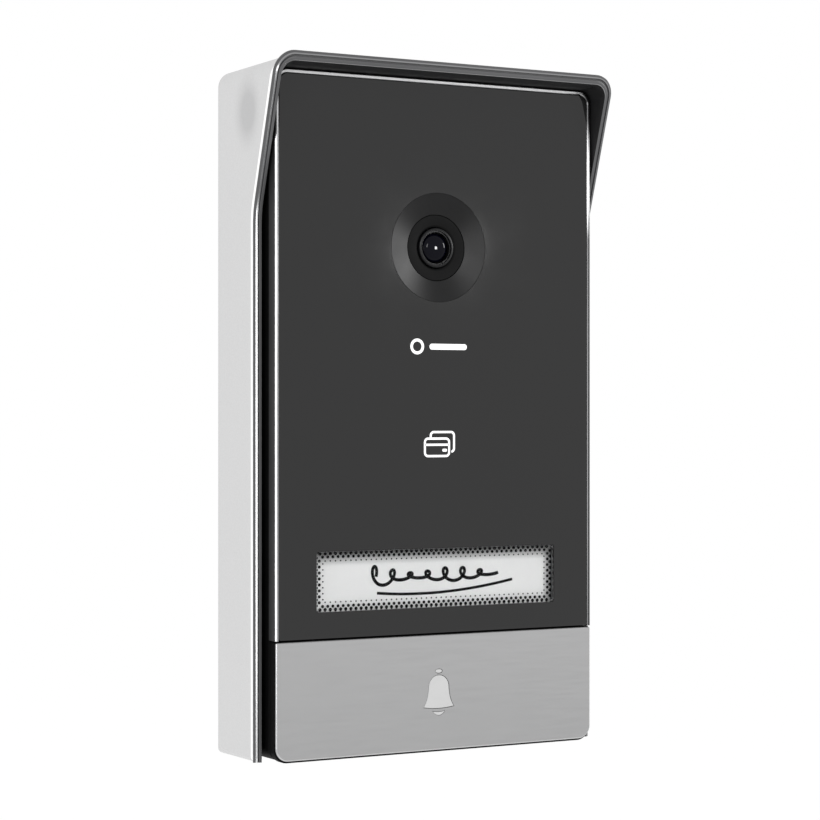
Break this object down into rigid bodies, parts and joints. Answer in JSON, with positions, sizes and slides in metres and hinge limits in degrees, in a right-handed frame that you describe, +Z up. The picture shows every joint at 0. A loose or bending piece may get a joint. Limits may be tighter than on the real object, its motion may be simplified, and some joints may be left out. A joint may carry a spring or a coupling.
{
  "type": "video doorbell",
  "caption": "Wall-mounted video door station: glass panel with camera and lit name window, full-width call button, rain shield and bracket with a forward hood.",
  "frame": {"origin": "on the wall face of the bracket, behind the centre of the door station", "axes": "+Z up, +X to the right as a visitor sees it, -Y towards the visitor, +Y into the wall"},
  "size_m": [0.099, 0.0324, 0.1736],
  "materials": {
    "dark_shell": "fine moulded texture, bright machined outer edge",
    "shield_coat": "satin silver-grey coat",
    "rubber": "matt",
    "steel": "plated",
    "black_plastic": "fine moulded texture",
    "frame_metal": "anodised dark, with a bright cut front edge",
    "dark_glass": "dark printed glass",
    "clear_plastic": "polished",
    "paper": "white card with a hand-drawn line",
    "bezel_plastic": "spun satin cone",
    "black_metal": "black anodised",
    "lens_glass": "coated",
    "sensor_glass": "polished",
    "circuit_board": "solder mask",
    "flex_film": "polyimide film",
    "led_resin": "tinted resin",
    "copper": "bare copper",
    "terminal_plastic": "moulded",
    "button_metal": "fine satin",
    "diffuser": "milky diffuser",
    "switch_plastic": "moulded"
  },
  "bodies": {
    "station": {"wall_bracket": "dark_shell", "shield_skin": "shield_coat", "cable_grommet": "rubber", "locking_screw": "steel", "rear_cover": "black_plastic", "housing_seal": "rubber", "front_housing": "black_plastic", "housing_screw_1": "steel", "housing_screw_2": "steel", "housing_screw_3": "steel", "housing_screw_4": "steel", "board_screw_1": "steel", "board_screw_2": "steel", "front_frame": "frame_metal", "panel_carrier": "black_plastic", "front_panel": "dark_glass", "name_window": "clear_plastic", "name_card": "paper", "name_light_guide": "clear_plastic", "camera_bezel": "bezel_plastic", "camera_cover": "black_plastic", "lens_barrel": "black_metal", "lens_front_element": "lens_glass", "lens_rear_element": "lens_glass", "lens_holder": "black_plastic", "ir_cut_motor": "copper", "image_sensor": "sensor_glass", "camera_board": "circuit_board", "camera_flex": "flex_film", "ir_board": "circuit_board", "ir_led_1": "led_resin", "ir_led_2": "led_resin", "main_board": "circuit_board", "processor_shield": "steel", "rfid_board": "circuit_board", "rfid_coil": "copper", "power_capacitor": "steel", "power_inductor": "black_plastic", "terminal_block": "terminal_plastic", "terminal_screw_1": "steel", "terminal_screw_2": "steel", "speaker_gasket": "rubber", "speaker_basket": "steel", "speaker_cone": "black_plastic", "speaker_magnet": "steel", "microphone_boot": "rubber", "button_seal": "rubber", "button_spring_1": "steel", "button_spring_2": "steel", "tact_switch": "black_plastic", "tamper_switch": "black_plastic"},
    "call_button": {"call_button_plate": "button_metal", "bell_light_guide": "diffuser", "button_carrier": "black_plastic"},
    "switch_plunger": {"tact_plunger": "switch_plastic"},
    "tamper_pin": {"tamper_plunger": "switch_plastic"},
    "filter_shuttle": {"ir_cut_frame": "black_plastic", "ir_cut_filter": "lens_glass", "clear_filter": "clear_plastic"},
    "reset_key": {"reset_button": "rubber"}
  },
  "joints": [
    {"name": "call_button_press", "type": "slide", "parent": "station", "child": "call_button", "axis": [0, 1, 0], "range_m": [0, 0.0008], "stiffness_N_per_m": 1500, "springref_m": -0.0008},
    {"name": "switch_plunger_press", "type": "slide", "parent": "station", "child": "switch_plunger", "axis": [0, 1, 0], "range_m": [0, 0.0008]},
    {"name": "tamper_release", "type": "slide", "parent": "station", "child": "tamper_pin", "axis": [0, 1, 0], "range_m": [0, 0.002], "stiffness_N_per_m": 150},
    {"name": "filter_shift", "type": "slide", "parent": "station", "child": "filter_shuttle", "axis": [1, 0, 0], "range_m": [0, 0.0076]},
    {"name": "reset_press", "type": "slide", "parent": "station", "child": "reset_key", "axis": [0, -1, 0], "range_m": [0, 0.0005], "stiffness_N_per_m": 800, "springref_m": -0.0003}
  ],
  "couplings": [
    {"joint": "switch_plunger_press", "follows": "call_button_press", "ratio": 1}
  ]
}
